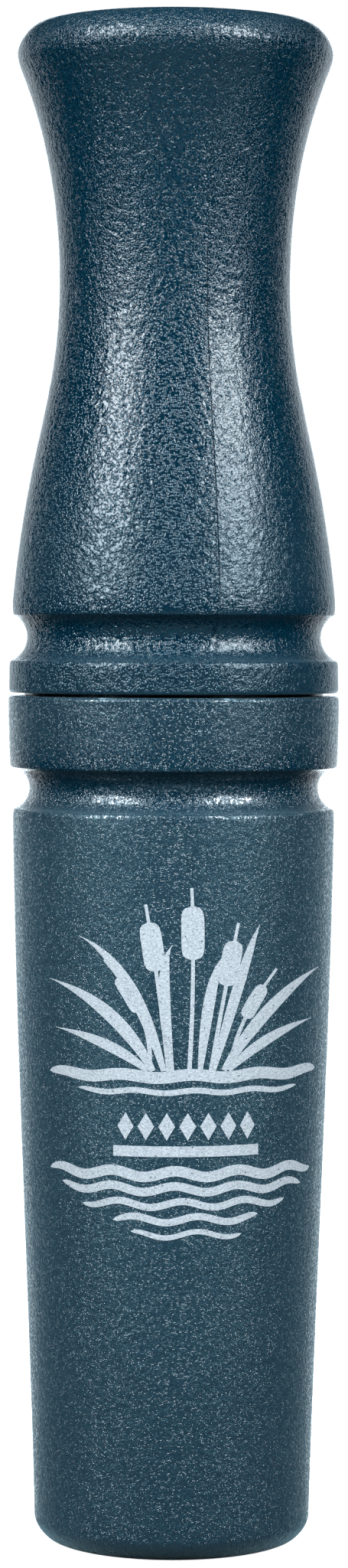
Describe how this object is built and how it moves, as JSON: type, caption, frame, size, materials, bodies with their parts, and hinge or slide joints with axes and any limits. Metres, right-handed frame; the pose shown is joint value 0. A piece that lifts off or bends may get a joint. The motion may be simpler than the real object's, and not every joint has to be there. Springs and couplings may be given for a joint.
{
  "type": "waterfowl call",
  "caption": "Hand-held call: a tapered barrel with a mouth bore and a plug-in flared end piece that holds a reed clamped on a tone trough.",
  "frame": {"origin": "centre of the mouth end's flat face, which the call stands on", "axes": "+Z along the bore from the mouth end to the bell, -Y to the reed's side of the sounding parts, which is also the printed side"},
  "size_m": [0.0288, 0.0288, 0.1313],
  "materials": {
    "moulded_plastic": "deep teal blue, fine pebbled mould grain with a satin sheen",
    "gut_plastic": "smooth black moulded",
    "reed_film": "milky polyester film, satin",
    "wedge_rubber": "grey, matt",
    "ring_rubber": "black nitrile, greased",
    "print_ink": "pale grey-blue printed ink, slightly worn"
  },
  "bodies": {
    "barrel": {"barrel": "moulded_plastic"},
    "o_rings": {"o_ring_upper": "ring_rubber", "o_ring_lower": "ring_rubber"},
    "end_piece": {"end_piece": "moulded_plastic"},
    "guts": {"tone_trough": "gut_plastic"},
    "wedge": {"wedge": "wedge_rubber"},
    "reed": {"reed": "reed_film"}
  },
  "joints": [
    {"name": "pull_out", "type": "slide", "parent": "barrel", "child": "o_rings", "axis": [0, 0, 1], "range_m": [0, 0.058]},
    {"name": "twist", "type": "hinge", "parent": "o_rings", "child": "end_piece", "pos_m": [0, 0, 0.073], "axis": [0, 0, 1], "continuous": true},
    {"name": "guts_slide", "type": "slide", "parent": "end_piece", "child": "guts", "axis": [0, 0, -1], "range_m": [0, 0.034]},
    {"name": "wedge_slide", "type": "slide", "parent": "guts", "child": "wedge", "axis": [0, 0, -1], "range_m": [0, 0.03]},
    {"name": "reed_flex", "type": "hinge", "parent": "wedge", "child": "reed", "pos_m": [0, -0.00088, 0.052], "axis": [1, 0, 0], "range_deg": [-2, 2.4], "stiffness_Nm_per_rad": 0.0075, "deforming": ["reed"]}
  ]
}
